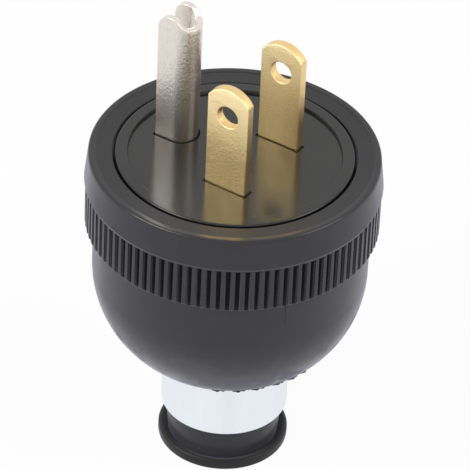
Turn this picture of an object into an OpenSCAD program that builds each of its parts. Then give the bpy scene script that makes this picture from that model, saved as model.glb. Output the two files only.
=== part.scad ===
// Round rewirable power plug with two blades and a U-shaped ground pin.
// It stands on the flange of its cord bushing, with the blades pointing up.
// The origin is the centre of that flange's lower face. Units are millimetres.

/* [Blades] */
// Distance between the centre planes of the two blades
blade_pitch = 12.7; // [12:0.1:13.5]
// Width of a blade
blade_w = 6.35; // [5.8:0.05:6.8]
// Thickness of a blade
blade_t = 1.4; // [1.2:0.05:1.8]
// Length of a blade in front of the face
blade_len = 15.9; // [15:0.1:19]
// Rise of the rounded tip above its shoulders
blade_tip_rise = 1.8; // [1.2:0.1:2.6]
// Chamfer along the edges of a blade
blade_chamfer = 0.15; // [0.1:0.05:0.3]
// Diameter of the hole through a blade
blade_hole_d = 3.2; // [2.6:0.1:3.6]
// Height of that hole above the face
blade_hole_h = 11.6; // [10.5:0.1:12.5]
// Distance from the axis of the plug to the line of the blades
blade_offset = 3; // [2.6:0.1:3.4]

/* [Ground pin] */
// Distance from the line of the blades to the centre of the pin
pin_pitch = 11.9; // [11.4:0.1:12.4]
// Width across the two legs
pin_w = 4.8; // [4.4:0.1:5.2]
// Depth from the open side to the back of the bend
pin_d = 5; // [4.6:0.1:5.4]
// Thickness of the folded strip
pin_t = 0.9; // [0.7:0.05:1.1]
// Length of the pin in front of the face
pin_len = 19.6; // [18.5:0.1:22]
// Depth of the notch over the bend, below the two tips
pin_notch = 1.55; // [1.2:0.05:2]

/* [Contact carrier] */
// Diameter of the face disc
carrier_d = 32.2; // [31:0.1:33]
// Thickness from the face to the back
carrier_h = 6.5; // [6:0.1:8]
// Width of the raised ring round the face
ring_w = 1.7; // [1.2:0.1:2]
// Height of the raised ring above the face
ring_h = 0.45; // [0.3:0.05:0.5]
// Rounding of the ring's outer edge
ring_round = 0.25; // [0.1:0.05:0.3]
// Overhang of the collar that the shell's lip holds
collar_w = 1.2; // [0.9:0.1:1.4]
// Height of the collar
collar_h = 3.4; // [2.8:0.1:4]

/* [Terminals] */
// Distance from a blade to the axis of its terminal screw
terminal_reach = 3.3; // [3.2:0.05:3.6]
// Side of the square clamp plates
clamp_w = 6; // [5.4:0.1:6.2]
// Thickness of the clamp plates
clamp_t = 1; // [0.8:0.1:1.3]
// Diameter of the terminal screws
terminal_d = 3.5; // [3:0.1:4]
// Length of the terminal screws under the head
terminal_len = 4.4; // [4:0.1:5]
// Diameter of their heads
terminal_head_d = 5.6; // [5:0.1:6]
// Height of their heads
terminal_head_h = 2; // [1.6:0.1:2.4]

/* [Blade retainer] */
// Thickness of the retainer plate
retainer_h = 4; // [3.6:0.1:5]
// Rim of the retainer left over each blade's foot
retainer_cover = 0.2; // [0.1:0.05:0.3]
// Diameter of the two retainer screws
fix_d = 3; // [2.6:0.1:3.2]
// Diameter of their heads
fix_head_d = 5; // [4.6:0.1:5.4]
// Height of their heads
fix_head_h = 1.8; // [1.4:0.1:2.2]
// Distance from the axis of the plug to each retainer screw
fix_r = 12.2; // [11.8:0.1:12.6]
// Angle of the retainer screws from the line of the blades
fix_angle = 42; // [38:1:46]
// Outer diameter of the threaded inserts
insert_d = 4.6; // [4.2:0.1:5]
// Length of the threaded inserts
insert_len = 4.2; // [3.5:0.1:4.5]

/* [Shell] */
// Diameter of the plain rim at the front
body_d = 40.3; // [39:0.1:43]
// Height of the plain rim
rim_h = 4.7; // [4:0.1:6]
// Height over which the rim swells out above the ribs
rim_swell = 0.25; // [0.15:0.05:1]
// Rounding of the rim's front edge
rim_round = 0.3; // [0.2:0.05:0.5]
// Narrowing of the rim towards its front edge
rim_draft = 0.5; // [0.3:0.05:0.8]
// Width of the raised band along the rim's front edge
rim_band_w = 0.95; // [0.8:0.05:1.3]
// Height of that band above the front of the lip
rim_band_h = 0.12; // [0.05:0.01:0.2]
// Number of ribs round the grip band
rib_count = 96; // [72:1:110]
// Height of the ribs
rib_h = 6.5; // [5:0.1:8]
// Depth of the ribs' tops below the rim
rib_inset = 0.2; // [0.1:0.05:0.3]
// Width of a groove between two ribs
groove_w = 0.72; // [0.5:0.02:0.8]
// Distance from a groove's upper end to the rim
groove_stop = 0.15; // [0.1:0.05:0.4]
// Depth of a groove
groove_depth = 1; // [0.6:0.05:1.1]
// Height of the bevel under the ribs
bevel_h = 0.9; // [0.6:0.1:2.8]
// Diameter of the cup behind the grip band
cup_d = 37.6; // [36.8:0.1:38.2]
// Height of the straight part of the cup
cup_h = 6.3; // [5:0.1:8]
// Height of the domed back
dome_h = 13.1; // [12:0.1:15]
// Diameter of the flat under the dome
base_d = 23.6; // [22.6:0.1:25]
// Thickness of the cup's wall
wall_t = 3; // [2.7:0.1:3.2]
// Thickness of the floor round the ferrule
floor_t = 3; // [2.4:0.1:3.6]
// Depth of the face below the rim
face_drop = 0.5; // [0.4:0.05:0.8]

/* [Cord grip] */
// Outer diameter of the ferrule
ferrule_d = 17.5; // [16.5:0.1:18]
// Wall of the ferrule
ferrule_t = 0.6; // [0.4:0.05:0.8]
// Length of ferrule that shows below the shell
ferrule_show = 10.4; // [8:0.1:13]
// Width of the flare that hooks the ferrule inside the shell
flare_w = 1.4; // [1:0.1:1.6]
// Diameter of the hole for the cord
cord_d = 10.4; // [8:0.1:11]
// Diameter of the bushing's flange
flange_d = 18; // [17.4:0.1:19]
// Thickness of that flange
flange_h = 1.6; // [1.3:0.1:3]
// Rounding of the flange's edges
flange_round = 0.4; // [0.2:0.05:0.6]
// Length of bushing that shows between flange and ferrule
neck_show = 4.6; // [3:0.1:6]
// Depth of the dip in the flange, next to the neck
flange_dip = 0.5; // [0.1:0.05:0.8]
// How much thinner the neck is at its foot, on the radius
neck_waist = 0.45; // [0.1:0.05:0.8]
// Radius of the bell mouth where the cord leaves
mouth_r = 1.5; // [1:0.1:1.8]
// Overhang of the collar at the bushing's inner end
stop_w = 1.4; // [1:0.1:1.6]
// Height of that collar
stop_h = 2; // [1.5:0.1:3]

/* [Clearances] */
// Gap round a blade or pin in its slot
slot_gap = 0.12; // [0.08:0.02:0.2]
// Gap between parts that are pushed together
fit_gap = 0.05; // [0.03:0.01:0.08]
// Gap between the face disc and the rubber lip
lip_gap = 0.3; // [0.2:0.05:0.5]
// Gap round parts that drop into place
free_gap = 0.2; // [0.15:0.05:0.3]

/* [Hidden] */
$fn = 96;

// Overrun of a cutting shape past the face that it cuts
over = 1;

// Levels, from the flange that the plug stands on up to the rim
z_neck = flange_h;
z_ferrule = z_neck + neck_show;
z_shell = z_ferrule + ferrule_show;
z_floor = z_shell + floor_t;
z_cup = z_shell + dome_h;
z_bevel = z_cup + cup_h;
z_ribs = z_bevel + bevel_h;
z_rim = z_ribs + rib_h;
z_top = z_rim + rim_h;
z_face = z_top - face_drop;
z_back = z_face - carrier_h;
z_lip = z_back + collar_h + fit_gap;
z_retainer = z_back - retainer_h;
z_clamp = z_back - clamp_t;
z_flare = z_floor + ferrule_t;

// Radii of the shell and of what fits in it
body_r = body_d / 2;
rib_r = body_r - rib_inset;
cup_r = cup_d / 2;
bore_r = cup_r - wall_t;
carrier_r = carrier_d / 2;
collar_r = carrier_r + collar_w;
ferrule_r = ferrule_d / 2;
ferrule_bore_r = ferrule_r - ferrule_t;
flare_r = ferrule_r + flare_w;
bushing_r = ferrule_bore_r - fit_gap;
floor_r = flare_r + free_gap;
flange_r = flange_d / 2;
// Radius of the neck at its foot
waist_r = bushing_r - neck_waist;
// Level of the foot of the neck
z_dip = flange_h - flange_dip;

// Places of the blades, the pin and their terminals
blade_x = blade_pitch / 2;
blade_y = -blade_offset;
pin_y = blade_y + pin_pitch;
pin_back_y = pin_y - pin_d / 2;
blade_terminal = [blade_x + blade_t / 2 + terminal_reach, blade_y];
pin_terminal = [0, pin_back_y - terminal_reach - retainer_cover];
foot_end = clamp_w / 2;
screw_hole_r = terminal_d / 2 + fit_gap;
// Head slots of every screw: width and depth as shares of the head's height
slot_w_share = 0.4;
slot_h_share = 0.5;
// Corner chamfer of the clamp plates
clamp_chamfer = clamp_w / 8;
// Rounding on the outside of the bend in a blade's foot
foot_round = blade_t / 3;

// Radius of an arc from its chord's run and rise, upright at one end
function arc_r(run, rise) = (run * run + rise * rise) / (2 * run);

// Half section of a disc with a rounded upper edge
module disc_2d(r, h, round_r) {
  square([r - round_r, h]);
  square([r, h - round_r]);
  translate([r - round_r, h - round_r]) circle(round_r);
}

// Half section of a dome that is upright at its top and narrows downwards
module dome_2d(r_top, r_low, h) {
  bend = arc_r(r_top - r_low, h);
  intersection() {
    square([r_top, h]);
    translate([r_top - bend, h]) circle(bend);
  }
}

// Half section of the shell's outside, from its underside up
module shell_outside_2d() {
  translate([0, z_shell]) dome_2d(cup_r, base_d / 2, dome_h);
  translate([0, z_cup]) square([cup_r, cup_h]);
  polygon([[0, z_bevel], [cup_r, z_bevel], [rib_r, z_ribs], [0, z_ribs]]);
  translate([0, z_ribs]) square([rib_r, rib_h]);
  polygon([
    [0, z_rim], [rib_r, z_rim], [body_r, z_rim + rim_swell],
    [body_r - rim_draft, z_top - rim_round], [0, z_top - rim_round]
  ]);
  translate([0, z_rim]) disc_2d(body_r - rim_draft, rim_h, rim_round);
}

// Half section of the room inside the shell: ferrule hole, dome, bore, collar groove, mouth,
// and the shallow step inside the rim's raised band
module shell_inside_2d() {
  translate([0, z_shell - over]) square([ferrule_r + fit_gap, floor_t + 2 * over]);
  translate([0, z_floor]) dome_2d(bore_r, floor_r, z_cup - z_floor);
  translate([0, z_cup]) square([bore_r, z_back - z_cup]);
  translate([0, z_back]) square([collar_r + fit_gap, z_lip - z_back]);
  translate([0, z_lip - over]) square([carrier_r + lip_gap, z_top - z_lip + 2 * over]);
  translate([0, z_top - rim_band_h]) square([body_r - rim_draft - rim_band_w, rim_band_h + over]);
}

// One groove of the grip band on the +X side, open at its lower end
module rib_groove() {
  translate([rib_r - groove_depth, -groove_w / 2, z_bevel - over])
    cube([groove_depth + over, groove_w, z_rim - groove_stop - z_bevel + over]);
}

// Moulded rubber body: rim, ribbed grip band, cup and domed back
module shell() {
  color("#3a3a3e") difference() {
    rotate_extrude() difference() {
      shell_outside_2d();
      shell_inside_2d();
    }
    for (i = [0 : rib_count - 1]) rotate((i + 0.5) * 360 / rib_count) rib_groove();
  }
}

// Cross-section of the ground pin, open towards +Y, grown on its skin by gap
module pin_2d(gap = 0) {
  bend_y = pin_back_y + pin_w / 2;
  open_y = pin_y + pin_d / 2 + gap;
  difference() {
    union() {
      translate([0, bend_y]) circle(pin_w / 2 + gap);
      translate([-pin_w / 2 - gap, bend_y]) square([pin_w + 2 * gap, open_y - bend_y]);
    }
    translate([0, bend_y]) circle(pin_w / 2 - pin_t - gap);
    translate([-pin_w / 2 + pin_t + gap, bend_y])
      square([pin_w - 2 * (pin_t + gap), open_y - bend_y + over]);
  }
}

// Outline of a blade's foot, from the blade out to its end, grown by gap
module blade_foot_2d(gap = 0) {
  reach = blade_terminal.x + foot_end - (blade_x - blade_t / 2);
  translate([blade_x - blade_t / 2 - gap, blade_y - blade_w / 2 - gap])
    square([reach + 2 * gap, blade_w + 2 * gap]);
}

// Outline of the ground pin's foot, from the bend to its end, grown by gap
module pin_foot_2d(gap = 0) {
  low_y = pin_terminal.y - foot_end;
  translate([-clamp_w / 2 - gap, low_y - gap])
    square([clamp_w + 2 * gap, pin_back_y + pin_w / 2 - low_y + 2 * gap]);
}

// Both blades' places, the second turned half round the line between them
module at_both_blades() {
  children();
  mirror([1, 0, 0]) children();
}

// Both retainer screws' places
module at_fix_screws() {
  for (a = [fix_angle, 180 - fix_angle])
    translate([fix_r * cos(a), fix_r * sin(a), 0]) children();
}

// Face disc of glossy phenolic: slots for the blades and the pin, and behind them the
// pockets for their feet and the holes for the screws
module contact_carrier() {
  depth = z_top - z_back;
  color("#1f1f20") difference() {
    rotate_extrude() difference() {
      union() {
        translate([0, z_back]) square([collar_r, collar_h]);
        translate([0, z_back]) disc_2d(carrier_r, carrier_h + ring_h, ring_round);
      }
      translate([0, z_face]) square([carrier_r - ring_w, ring_h + over]);
    }
    at_both_blades() {
      translate([blade_x - blade_t / 2 - slot_gap, blade_y - blade_w / 2 - slot_gap, z_back - over])
        cube([blade_t + 2 * slot_gap, blade_w + 2 * slot_gap, depth + over]);
      translate([0, 0, z_back - over]) linear_extrude(blade_t + over) blade_foot_2d(slot_gap);
      translate([blade_terminal.x, blade_terminal.y, z_back]) terminal_tip_hole();
    }
    translate([0, 0, z_back - over]) linear_extrude(depth + over) pin_2d(slot_gap);
    translate([0, 0, z_back - over]) linear_extrude(pin_t + over) pin_foot_2d(slot_gap);
    translate([pin_terminal.x, pin_terminal.y, z_back]) terminal_tip_hole();
    at_fix_screws() translate([0, 0, z_back - over])
      cylinder(d = insert_d + 2 * fit_gap, h = insert_len + fit_gap + over);
  }
}

// Room for the end of a terminal screw
module terminal_tip_hole() {
  cylinder(r = screw_hole_r + free_gap, h = terminal_len - clamp_t + free_gap);
}

// Opening in the retainer over one terminal
module terminal_window(length) {
  side = clamp_w + 2 * free_gap;
  translate([-side / 2, -side / 2, z_retainer - over])
    cube([length, side, retainer_h + 2 * over]);
}

// Phenolic plate behind the carrier: it holds the feet in their pockets and leaves the terminals open
module blade_retainer() {
  color("#3b2a20") difference() {
    translate([0, 0, z_retainer]) cylinder(r = bore_r - free_gap, h = retainer_h);
    at_both_blades() translate([blade_terminal.x, blade_terminal.y, 0]) terminal_window(bore_r);
    translate([pin_terminal.x, pin_terminal.y, 0]) terminal_window(clamp_w + 2 * free_gap);
    at_fix_screws() translate([0, 0, z_retainer - over])
      cylinder(d = fix_d + 2 * fit_gap, h = retainer_h + 2 * over);
  }
}

// Slotted pan-head screw, pointing up, with the underside of its head at the origin
module slotted_screw(d, len, head_d, head_h) {
  round_r = head_h / 2;
  slot_h = head_h * slot_h_share;
  cylinder(d = d, h = len);
  difference() {
    mirror([0, 0, 1]) rotate_extrude() disc_2d(head_d / 2, head_h, round_r);
    translate([-head_d / 2, -head_h * slot_w_share / 2, -head_h - over])
      cube([head_d, head_h * slot_w_share, slot_h + over]);
  }
}

// Two screws that pull the retainer against the carrier
module retainer_screws() {
  color("#b8b8b4") at_fix_screws() translate([0, 0, z_retainer])
    slotted_screw(fix_d, retainer_h + insert_len, fix_head_d, fix_head_h);
}

// Two brass sleeves moulded into the back of the carrier for those screws
module threaded_inserts() {
  color("#b08d45") at_fix_screws() translate([0, 0, z_back]) difference() {
    cylinder(d = insert_d, h = insert_len);
    translate([0, 0, -over]) cylinder(d = fix_d + 2 * fit_gap, h = insert_len + 2 * over);
  }
}

// Cross-section of a blade, chamfered along its four edges
module blade_section_2d() {
  hull_x = blade_t / 2;
  hull_y = blade_w / 2;
  c = blade_chamfer;
  polygon([
    [-hull_x, -hull_y + c], [-hull_x + c, -hull_y], [hull_x - c, -hull_y], [hull_x, -hull_y + c],
    [hull_x, hull_y - c], [hull_x - c, hull_y], [-hull_x + c, hull_y], [-hull_x, hull_y - c]
  ]);
}

// Round coin with chamfered edges, lying across a blade: its upper edge is the blade's tip
module tip_coin(r) {
  flat_t = blade_t - 2 * blade_chamfer;
  rotate([0, 90, 0]) union() {
    cylinder(r = r, h = flat_t, center = true);
    for (side = [0, 1]) mirror([0, 0, side]) translate([0, 0, flat_t / 2])
      cylinder(r1 = r, r2 = r - blade_chamfer, h = blade_chamfer);
  }
}

// Hole through a blade, with chamfered mouths
module blade_hole() {
  hole_r = blade_hole_d / 2;
  rotate([0, 90, 0]) union() {
    cylinder(r = hole_r, h = blade_t + 2 * over, center = true);
    for (side = [0, 1]) mirror([0, 0, side]) translate([0, 0, blade_t / 2 - blade_chamfer])
      cylinder(r1 = hole_r, r2 = hole_r + 2 * blade_chamfer, h = 2 * blade_chamfer);
  }
}

// One stamped brass blade with its foot bent outwards for the terminal, on the +X side
module blade() {
  half_w = blade_w / 2;
  tip_r = (half_w * half_w + blade_tip_rise * blade_tip_rise) / (2 * blade_tip_rise);
  coin_z = z_face + blade_len - tip_r;
  difference() {
    union() {
      translate([blade_x, blade_y, 0]) intersection() {
        translate([0, 0, z_back + foot_round]) linear_extrude(z_face + blade_len - z_back)
          blade_section_2d();
        union() {
          translate([-blade_t, -blade_w, z_back]) cube([2 * blade_t, 2 * blade_w, coin_z - z_back]);
          translate([0, 0, coin_z]) tip_coin(tip_r);
        }
      }
      difference() {
        translate([0, 0, z_back]) linear_extrude(blade_t) blade_foot_2d();
        translate([blade_x - blade_t / 2, blade_y - blade_w, z_back]) foot_bend_cut();
      }
    }
    translate([blade_x, blade_y, z_face + blade_hole_h]) blade_hole();
    translate([blade_terminal.x, blade_terminal.y, z_back - over])
      cylinder(r = screw_hole_r, h = blade_t + 2 * over);
  }
}

// What the bend takes off the outer corner of a foot
module foot_bend_cut() {
  rotate([-90, 0, 0]) linear_extrude(2 * blade_w) difference() {
    translate([-over, -foot_round]) square([foot_round + over, foot_round + over]);
    translate([foot_round, -foot_round]) circle(foot_round);
  }
}

// Blade on the +X side
module line_blade() {
  color("#c8a55c") blade();
}

// Blade on the -X side
module neutral_blade() {
  color("#c8a55c") mirror([1, 0, 0]) blade();
}

// Outline of the pin's tips seen along X: a round tip on each leg, and a hollow that runs down from it
// and is lowest at the back of the bend
module pin_tip_2d() {
  tip_r = pin_d * 0.37;
  tip_y = pin_y + pin_d / 2 - tip_r;
  tip_z = z_face + pin_len - tip_r;
  run = tip_y - pin_back_y;
  hollow_r = (run * run + pin_notch * pin_notch) / (2 * pin_notch) - 0.99 * tip_r;
  hollow_z = tip_z + tip_r - pin_notch + hollow_r;
  translate([tip_y, z_back]) square([tip_r, tip_z - z_back]);
  translate([tip_y, tip_z]) circle(tip_r);
  difference() {
    polygon([
      [pin_back_y - over, z_back], [pin_back_y - over, hollow_z], [pin_back_y, hollow_z],
      [tip_y, tip_z], [tip_y, z_back]
    ]);
    translate([pin_back_y, hollow_z]) circle(hollow_r);
  }
}

// Ground pin: a strip folded to a U round the +Y side, with a foot for its terminal
module ground_pin() {
  color("#bdb7ae") difference() {
    union() {
      intersection() {
        translate([0, 0, z_back]) linear_extrude(z_face + pin_len - z_back) pin_2d();
        rotate([90, 0, 90]) linear_extrude(2 * pin_w, center = true) pin_tip_2d();
      }
      translate([0, 0, z_back]) linear_extrude(pin_t) pin_foot_2d();
    }
    translate([pin_terminal.x, pin_terminal.y, z_back - over])
      cylinder(r = screw_hole_r, h = pin_t + 2 * over);
  }
}

// Square plate under a terminal screw's head
module clamp_plate(at) {
  half = clamp_w / 2;
  c = clamp_chamfer;
  translate([at.x, at.y, z_clamp]) difference() {
    linear_extrude(clamp_t) polygon([
      [-half, -half + c], [-half + c, -half], [half - c, -half], [half, -half + c],
      [half, half - c], [half - c, half], [-half + c, half], [-half, half - c]
    ]);
    translate([0, 0, -over]) cylinder(r = screw_hole_r, h = clamp_t + 2 * over);
  }
}

module line_clamp_plate() {
  color("#c8a55c") clamp_plate(blade_terminal);
}

module neutral_clamp_plate() {
  color("#c9c6bf") mirror([1, 0, 0]) clamp_plate(blade_terminal);
}

module ground_clamp_plate() {
  color("#bdb7ae") clamp_plate(pin_terminal);
}

// Screw that clamps a wire under its plate
module terminal_screw(at) {
  translate([at.x, at.y, z_clamp])
    slotted_screw(terminal_d, terminal_len, terminal_head_d, terminal_head_h);
}

module line_terminal_screw() {
  color("#b08d45") terminal_screw(blade_terminal);
}

module neutral_terminal_screw() {
  color("#c9c6bf") mirror([1, 0, 0]) terminal_screw(blade_terminal);
}

module ground_terminal_screw() {
  color("#3f7f4a") terminal_screw(pin_terminal);
}

// Bright metal tube at the cord end, flared inside the shell so that it can't pull out
module ferrule() {
  color("#dfe3e8") rotate_extrude() difference() {
    union() {
      translate([0, z_ferrule]) square([ferrule_r, z_flare - z_ferrule]);
      translate([0, z_floor]) square([flare_r, ferrule_t]);
    }
    translate([0, z_ferrule - over]) square([ferrule_bore_r, z_flare - z_ferrule + 2 * over]);
  }
}

// Half section of the flange: round at its edge, with a dip that runs down to the foot of the neck
module flange_2d() {
  edge = [flange_r - flange_round, flange_h - flange_round];
  run = edge - [waist_r, z_dip];
  // The slope ends just inside the round edge, so that the two cross
  inside = 0.98 * flange_round;
  slope = atan2(run[1], run[0]) + asin(inside / norm(run));
  touch = edge + inside * [-sin(slope), cos(slope)];
  polygon([[0, 0], [edge[0], 0], edge, touch, [waist_r, z_dip], [0, z_dip]]);
  translate([edge[0], flange_round]) square([flange_round, edge[1] - flange_round]);
  translate([edge[0], flange_round]) circle(flange_round);
  translate(edge) circle(flange_round);
}

// Half section of the bushing: flange, neck, sleeve and the collar that stops on the flare
module bushing_2d() {
  flange_2d();
  polygon([
    [0, 0], [waist_r, 0], [waist_r, z_dip],
    [bushing_r, z_ferrule], [bushing_r, z_flare], [0, z_flare],
  ]);
  translate([0, z_flare]) square([bushing_r + stop_w, stop_h]);
}

// Rubber sleeve in the ferrule, with a flange outside and a bell mouth for the cord
module cord_bushing() {
  cord_r = cord_d / 2;
  color("#333336") rotate_extrude() difference() {
    bushing_2d();
    translate([0, -over]) square([cord_r, z_flare + stop_h + 2 * over]);
    difference() {
      translate([0, -over]) square([cord_r + mouth_r, mouth_r + over]);
      translate([cord_r + mouth_r, mouth_r]) circle(mouth_r);
    }
  }
}

shell();
contact_carrier();
blade_retainer();
retainer_screws();
threaded_inserts();
line_blade();
neutral_blade();
ground_pin();
line_clamp_plate();
neutral_clamp_plate();
ground_clamp_plate();
line_terminal_screw();
neutral_terminal_screw();
ground_terminal_screw();
ferrule();
cord_bushing();
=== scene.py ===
import math

import bmesh
import bpy
from mathutils import Matrix, Vector


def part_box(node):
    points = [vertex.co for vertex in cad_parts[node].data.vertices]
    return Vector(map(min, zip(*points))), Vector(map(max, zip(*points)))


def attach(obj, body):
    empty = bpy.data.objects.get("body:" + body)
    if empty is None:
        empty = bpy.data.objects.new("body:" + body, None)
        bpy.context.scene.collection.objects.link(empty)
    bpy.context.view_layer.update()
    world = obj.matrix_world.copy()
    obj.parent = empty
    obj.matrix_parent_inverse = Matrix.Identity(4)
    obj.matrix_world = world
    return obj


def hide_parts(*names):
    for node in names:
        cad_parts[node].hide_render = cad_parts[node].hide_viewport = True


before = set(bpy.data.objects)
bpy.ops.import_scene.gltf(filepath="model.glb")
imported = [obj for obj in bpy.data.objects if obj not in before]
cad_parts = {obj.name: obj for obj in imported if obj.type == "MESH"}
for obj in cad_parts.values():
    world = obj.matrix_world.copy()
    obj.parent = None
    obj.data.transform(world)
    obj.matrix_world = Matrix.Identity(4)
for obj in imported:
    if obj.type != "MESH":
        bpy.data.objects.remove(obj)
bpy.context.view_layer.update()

# Studio: the plug stands on white paper in a white room, between two soft boxes. The strong one is on
# the left and the weak one on the right. Neither is at the camera, so the grooves stay dark.
scene = bpy.context.scene
scene.view_settings.view_transform = "Standard"

camera_azimuth = math.radians(-57.8)
camera_elevation = math.radians(37.4)
camera_roll = math.radians(-2.7)
camera_distance = 0.6208
camera_height = 0.0342
camera_aside = 0.0005
focal_pixels = 4579
picture_pixels = 470
sensor_mm = 36
white = (1, 1, 1, 1)
white_level = 1.0
room_light = 0.5
box_size = 0.8
box_distance = 1.5
soft_boxes = {
    "left_box": {"azimuth": -122, "elevation": 37, "watts": 12.0},
    "right_box": {"azimuth": 15, "elevation": 35, "watts": 6.0},
}
floor_size = 6.0
floor_tone = (0.95, 0.95, 0.95, 1)
floor_glow = 0.94


def towards(azimuth, elevation):
    """Unit vector from the plug to a place round it, as the views count their angles."""
    level = math.cos(elevation)
    return Vector((math.sin(azimuth) * level, -math.cos(azimuth) * level, math.sin(elevation)))


def axes_facing(back, roll=0.0):
    """Rotation whose Z axis is back and whose Y axis is as upright as it can be, then rolled."""
    side = Vector((0, 0, 1)).cross(back).normalized()
    upright = back.cross(side)
    level = Matrix((side, upright, back)).transposed()
    return (level @ Matrix.Rotation(roll, 3, "Z")).to_4x4()


camera_back = towards(camera_azimuth, camera_elevation)
camera_side = Vector((math.cos(camera_azimuth), math.sin(camera_azimuth), 0))
camera_data = bpy.data.cameras.new("camera")
camera_data.sensor_width = sensor_mm
camera_data.lens = sensor_mm * focal_pixels / picture_pixels
camera = bpy.data.objects.new("camera", camera_data)
looked_at = Vector((0, 0, camera_height)) + camera_side * camera_aside
camera.matrix_world = Matrix.Translation(looked_at + camera_back * camera_distance) @ axes_facing(
    camera_back, -camera_roll
)
scene.collection.objects.link(camera)
scene.camera = camera

for name, stand in soft_boxes.items():
    lamp = bpy.data.lights.new(name, "AREA")
    lamp.shape = "SQUARE"
    lamp.size = box_size
    lamp.energy = stand["watts"]
    box_back = towards(math.radians(stand["azimuth"]), math.radians(stand["elevation"]))
    soft_box = bpy.data.objects.new(name, lamp)
    soft_box.matrix_world = Matrix.Translation(box_back * box_distance) @ axes_facing(box_back)
    scene.collection.objects.link(soft_box)


def add_node(tree, kind, **settings):
    """A node with its properties set, and its inputs where a setting is the name of one."""
    made = tree.nodes.new(kind)
    for name, value in settings.items():
        if hasattr(made, name):
            setattr(made, name, value)
        else:
            made.inputs[name.replace("_", " ")].default_value = value
    return made


def seen_directly(tree):
    """1 for rays from the camera and for what metal or glass mirrors, and 0 for scattered light."""
    path = add_node(tree, "ShaderNodeLightPath")
    seen_or_mirrored = add_node(tree, "ShaderNodeMath", operation="MAXIMUM")
    direct = add_node(tree, "ShaderNodeMath", operation="MAXIMUM")
    tree.links.new(path.outputs["Is Camera Ray"], seen_or_mirrored.inputs[0])
    tree.links.new(path.outputs["Is Glossy Ray"], seen_or_mirrored.inputs[1])
    tree.links.new(seen_or_mirrored.outputs[0], direct.inputs[0])
    tree.links.new(path.outputs["Is Transmission Ray"], direct.inputs[1])
    return direct.outputs[0]


room = bpy.data.worlds.new("white_room")
room.use_nodes = True
scene.world = room
room_shader = room.node_tree.nodes["Background"]
room_shader.inputs["Color"].default_value = white
room_level = add_node(room.node_tree, "ShaderNodeMapRange", To_Min=room_light, To_Max=white_level)
room.node_tree.links.new(seen_directly(room.node_tree), room_level.inputs["Value"])
room.node_tree.links.new(room_level.outputs["Result"], room_shader.inputs["Strength"])


def box_points(low_x, low_y, high_x, high_y):
    """A rectangle of points."""
    return [(low_x, low_y), (high_x, low_y), (high_x, high_y), (low_x, high_y)]


half_floor = floor_size / 2
floor_corners = [(x, y, 0) for x, y in box_points(-half_floor, -half_floor, half_floor, half_floor)]
floor_mesh = bpy.data.meshes.new("floor")
floor_mesh.from_pydata(floor_corners, [], [(0, 1, 2, 3)])
floor = bpy.data.objects.new("floor", floor_mesh)
scene.collection.objects.link(floor)
paper = bpy.data.materials.new("white_paper")
paper.use_nodes = True
paper_tree = paper.node_tree
paper_tree.nodes.clear()
paper_out = add_node(paper_tree, "ShaderNodeOutputMaterial")
paper_mix = add_node(paper_tree, "ShaderNodeMixShader")
paper_matt = add_node(paper_tree, "ShaderNodeBsdfDiffuse", Color=floor_tone)
paper_glow = add_node(paper_tree, "ShaderNodeEmission", Color=white, Strength=white_level)
paper_share = add_node(paper_tree, "ShaderNodeMath", operation="MULTIPLY")
paper_share.inputs[1].default_value = floor_glow
paper_tree.links.new(seen_directly(paper_tree), paper_share.inputs[0])
paper_tree.links.new(paper_share.outputs[0], paper_mix.inputs["Fac"])
paper_tree.links.new(paper_matt.outputs[0], paper_mix.inputs[1])
paper_tree.links.new(paper_glow.outputs[0], paper_mix.inputs[2])
paper_tree.links.new(paper_mix.outputs[0], paper_out.inputs["Surface"])
floor_mesh.materials.append(paper)

# Shell: one moulding of black rubber with a plain rim, a band of fine upright ribs for grip,
# a straight cup and a domed back. The hard face disc is pressed into its mouth from the front.
mm = 0.001
shell_low, shell_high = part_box("shell")
shell_foot = shell_low.z
shell_top = shell_high.z
rim_r = shell_high.x
cup_step = 1.35 * mm
base_step = 8.35 * mm
rib_step = 0.2 * mm
groove_depth = 1.0 * mm
dome_h = 13.1 * mm
cup_h = 6.3 * mm
rib_slant = 0.9 * mm
rib_h = 6.5 * mm
band_w = 1.45 * mm
cup_r = rim_r - cup_step
base_r = rim_r - base_step
rib_r = rim_r - rib_step
groove_r = rib_r - groove_depth
band_r = rim_r - band_w
dome_top = shell_foot + dome_h
cup_top = dome_top + cup_h
rib_low = cup_top + rib_slant
rim_low = rib_low + rib_h
groove_low = cup_top + (groove_r - cup_r) / (rib_r - cup_r) * (rib_low - cup_top)
swell_h = 0.25 * mm
band_h = 0.12 * mm
band_slope = 0.06 * mm
lip_slope = 0.1 * mm
rim_draft = 0.5 * mm
rim_round = 0.3 * mm
swell_low_round = 0.2 * mm
swell_high_round = 0.5 * mm
band_round = 0.03 * mm
lip_round = 0.2 * mm
base_round = 0.35 * mm
ferrule_hole_round = 0.3 * mm
groove_stop = 0.15 * mm
groove_low_round = 0.12 * mm
groove_top_round = 0.1 * mm
groove_stop_round = 0.05 * mm
wall_t = 3.0 * mm
rib_count = 96
rib_wide = 0.56 * mm
rib_spread = 0.09 * mm
rib_round = 0.07 * mm
rib_shoulder = 0.35 * mm
rib_root = 0.3 * mm
rib_overlap = 0.1 * mm
root_margin = 0.01 * mm
corner_steps = 5
lathe_steps = 192
outer_dome_steps = 28
inner_dome_steps = 20


def arc_points(centre, radius, start, end, steps):
    """Points on an arc of a flat outline, from the start angle to the end angle."""
    turns = [start + (end - start) * i / steps for i in range(steps + 1)]
    return [(centre[0] + radius * math.cos(t), centre[1] + radius * math.sin(t)) for t in turns]


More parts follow.
